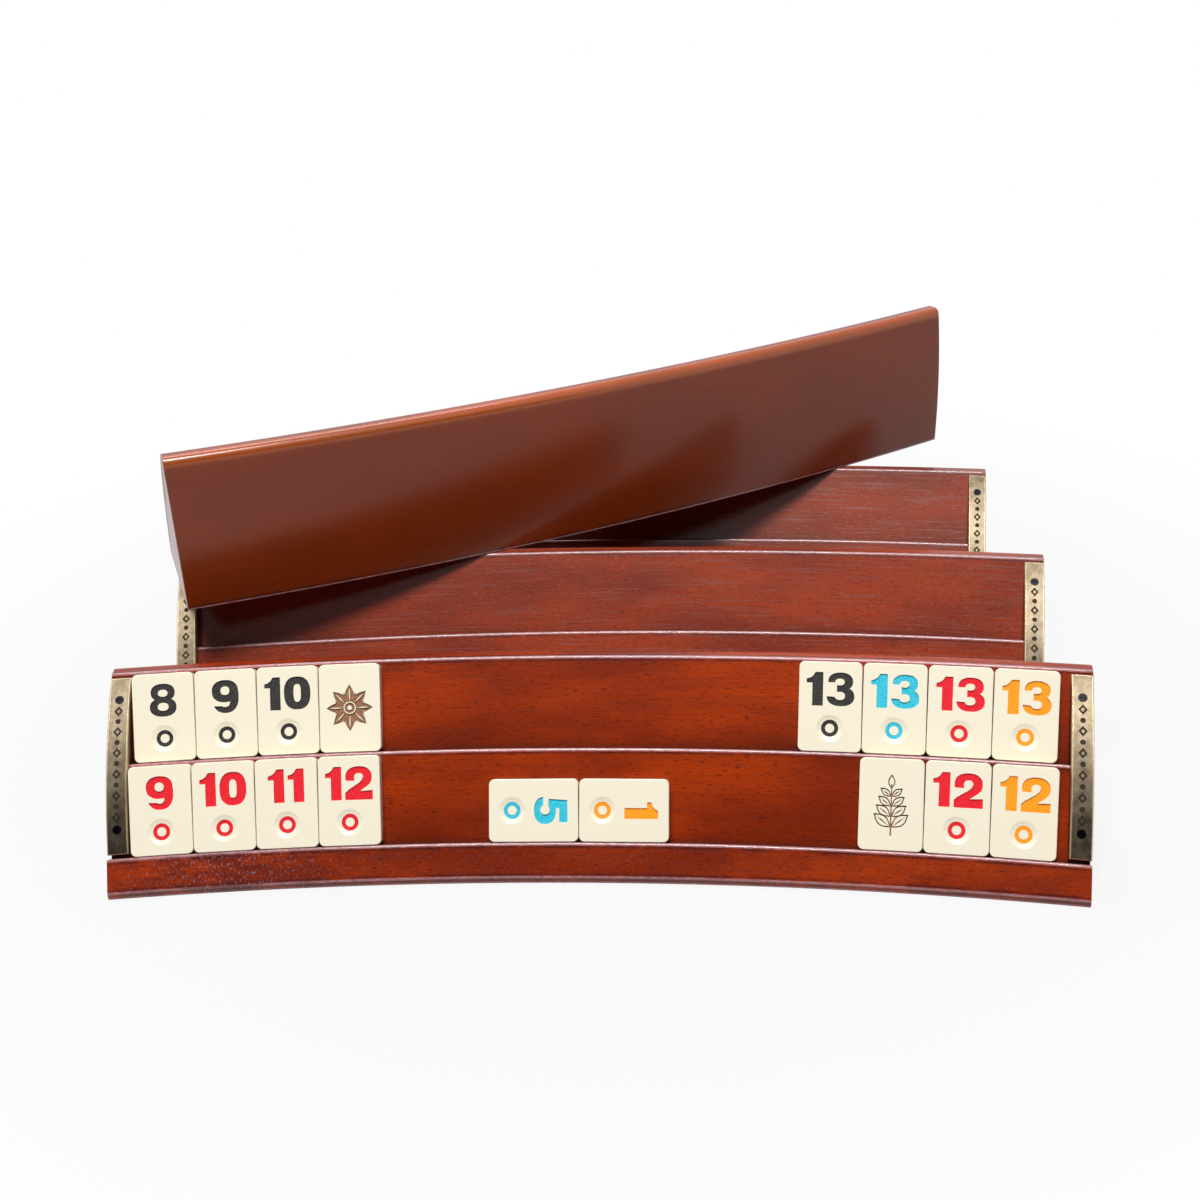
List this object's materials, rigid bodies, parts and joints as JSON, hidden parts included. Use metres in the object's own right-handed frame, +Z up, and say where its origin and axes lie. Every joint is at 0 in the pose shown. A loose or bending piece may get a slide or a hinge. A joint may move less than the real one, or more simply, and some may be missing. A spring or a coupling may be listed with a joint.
{
  "type": "tile rack set",
  "caption": "Curved two-step wooden racks for a rummy tile game, with brass end caps, one turned round on top of two others, and numbered tiles on the front rack.",
  "frame": {"origin": "middle of the front rack's underside, on the table", "axes": "+X to the player's right along the racks, +Y away from the player, +Z up"},
  "size_m": [0.4423, 0.3922, 0.1531],
  "materials": {
    "stained_beech": "satin lacquer, reddish mahogany stain",
    "antique_brass": "antiqued brass, edges rubbed bright",
    "dark_screw": "blackened countersunk screw",
    "tile_ivory": "polished ivory plastic"
  },
  "bodies": {
    "front_rack": {"front_rack_wood": "stained_beech", "front_rack_left_cap": "antique_brass", "front_rack_right_cap": "antique_brass", "front_rack_cap_screws": "dark_screw"},
    "middle_rack": {"middle_rack_wood": "stained_beech", "middle_rack_left_cap": "antique_brass", "middle_rack_right_cap": "antique_brass", "middle_rack_cap_screws": "dark_screw"},
    "rear_rack": {"rear_rack_wood": "stained_beech", "rear_rack_left_cap": "antique_brass", "rear_rack_right_cap": "antique_brass", "rear_rack_cap_screws": "dark_screw"},
    "turned_rack": {"turned_rack_wood": "stained_beech", "turned_rack_left_cap": "antique_brass", "turned_rack_right_cap": "antique_brass", "turned_rack_cap_screws": "dark_screw"},
    "tile_black_8": {"tile_black_8": "tile_ivory"},
    "tile_black_9": {"tile_black_9": "tile_ivory"},
    "tile_black_10": {"tile_black_10": "tile_ivory"},
    "tile_joker_star": {"tile_joker_star": "tile_ivory"},
    "tile_red_9": {"tile_red_9": "tile_ivory"},
    "tile_red_10": {"tile_red_10": "tile_ivory"},
    "tile_red_11": {"tile_red_11": "tile_ivory"},
    "tile_red_12": {"tile_red_12": "tile_ivory"},
    "tile_black_13": {"tile_black_13": "tile_ivory"},
    "tile_blue_13": {"tile_blue_13": "tile_ivory"},
    "tile_red_13": {"tile_red_13": "tile_ivory"},
    "tile_orange_13": {"tile_orange_13": "tile_ivory"},
    "tile_joker_leaf": {"tile_joker_leaf": "tile_ivory"},
    "tile_red_12_spare": {"tile_red_12_spare": "tile_ivory"},
    "tile_orange_12": {"tile_orange_12": "tile_ivory"},
    "tile_blue_5": {"tile_blue_5": "tile_ivory"},
    "tile_orange_1": {"tile_orange_1": "tile_ivory"}
  },
  "joints": [
    {"name": "tile_black_8_lift", "type": "slide", "parent": "front_rack", "child": "tile_black_8", "axis": [-0.0645, 0.5185, 0.8526], "range_m": [0, 0.05]},
    {"name": "tile_black_9_lift", "type": "slide", "parent": "front_rack", "child": "tile_black_9", "axis": [-0.0552, 0.5196, 0.8526], "range_m": [0, 0.05]},
    {"name": "tile_black_10_lift", "type": "slide", "parent": "front_rack", "child": "tile_black_10", "axis": [-0.0459, 0.5205, 0.8526], "range_m": [0, 0.05]},
    {"name": "tile_joker_star_lift", "type": "slide", "parent": "front_rack", "child": "tile_joker_star", "axis": [-0.0366, 0.5212, 0.8526], "range_m": [0, 0.05]},
    {"name": "tile_red_9_lift", "type": "slide", "parent": "front_rack", "child": "tile_red_9", "axis": [-0.065, 0.5184, 0.8526], "range_m": [0, 0.09]},
    {"name": "tile_red_10_lift", "type": "slide", "parent": "front_rack", "child": "tile_red_10", "axis": [-0.0555, 0.5195, 0.8526], "range_m": [0, 0.09]},
    {"name": "tile_red_11_lift", "type": "slide", "parent": "front_rack", "child": "tile_red_11", "axis": [-0.046, 0.5205, 0.8526], "range_m": [0, 0.09]},
    {"name": "tile_red_12_lift", "type": "slide", "parent": "front_rack", "child": "tile_red_12", "axis": [-0.0365, 0.5212, 0.8526], "range_m": [0, 0.09]},
    {"name": "tile_black_13_lift", "type": "slide", "parent": "front_rack", "child": "tile_black_13", "axis": [0.0354, 0.5213, 0.8526], "range_m": [0, 0.05]},
    {"name": "tile_blue_13_lift", "type": "slide", "parent": "front_rack", "child": "tile_blue_13", "axis": [0.0448, 0.5206, 0.8526], "range_m": [0, 0.05]},
    {"name": "tile_red_13_lift", "type": "slide", "parent": "front_rack", "child": "tile_red_13", "axis": [0.0541, 0.5197, 0.8526], "range_m": [0, 0.05]},
    {"name": "tile_orange_13_lift", "type": "slide", "parent": "front_rack", "child": "tile_orange_13", "axis": [0.0634, 0.5186, 0.8526], "range_m": [0, 0.05]},
    {"name": "tile_joker_leaf_lift", "type": "slide", "parent": "front_rack", "child": "tile_joker_leaf", "axis": [0.0446, 0.5206, 0.8526], "range_m": [0, 0.09]},
    {"name": "tile_red_12_spare_lift", "type": "slide", "parent": "front_rack", "child": "tile_red_12_spare", "axis": [0.0541, 0.5197, 0.8526], "range_m": [0, 0.09]},
    {"name": "tile_orange_12_lift", "type": "slide", "parent": "front_rack", "child": "tile_orange_12", "axis": [0.0636, 0.5186, 0.8526], "range_m": [0, 0.09]},
    {"name": "tile_blue_5_lift", "type": "slide", "parent": "front_rack", "child": "tile_blue_5", "axis": [-0.0086, 0.5224, 0.8526], "range_m": [0, 0.09]},
    {"name": "tile_orange_1_lift", "type": "slide", "parent": "front_rack", "child": "tile_orange_1", "axis": [0.0051, 0.5225, 0.8526], "range_m": [0, 0.09]},
    {"name": "middle_rack_slide", "type": "slide", "parent": "front_rack", "child": "middle_rack", "axis": [1, 0, 0], "range_m": [0, 0.1]},
    {"name": "rear_rack_slide", "type": "slide", "parent": "front_rack", "child": "rear_rack", "axis": [-1, 0, 0], "range_m": [0, 0.1]},
    {"name": "turned_rack_lift", "type": "slide", "parent": "middle_rack", "child": "turned_rack", "axis": [0, 0, 1], "range_m": [0, 0.1]}
  ]
}
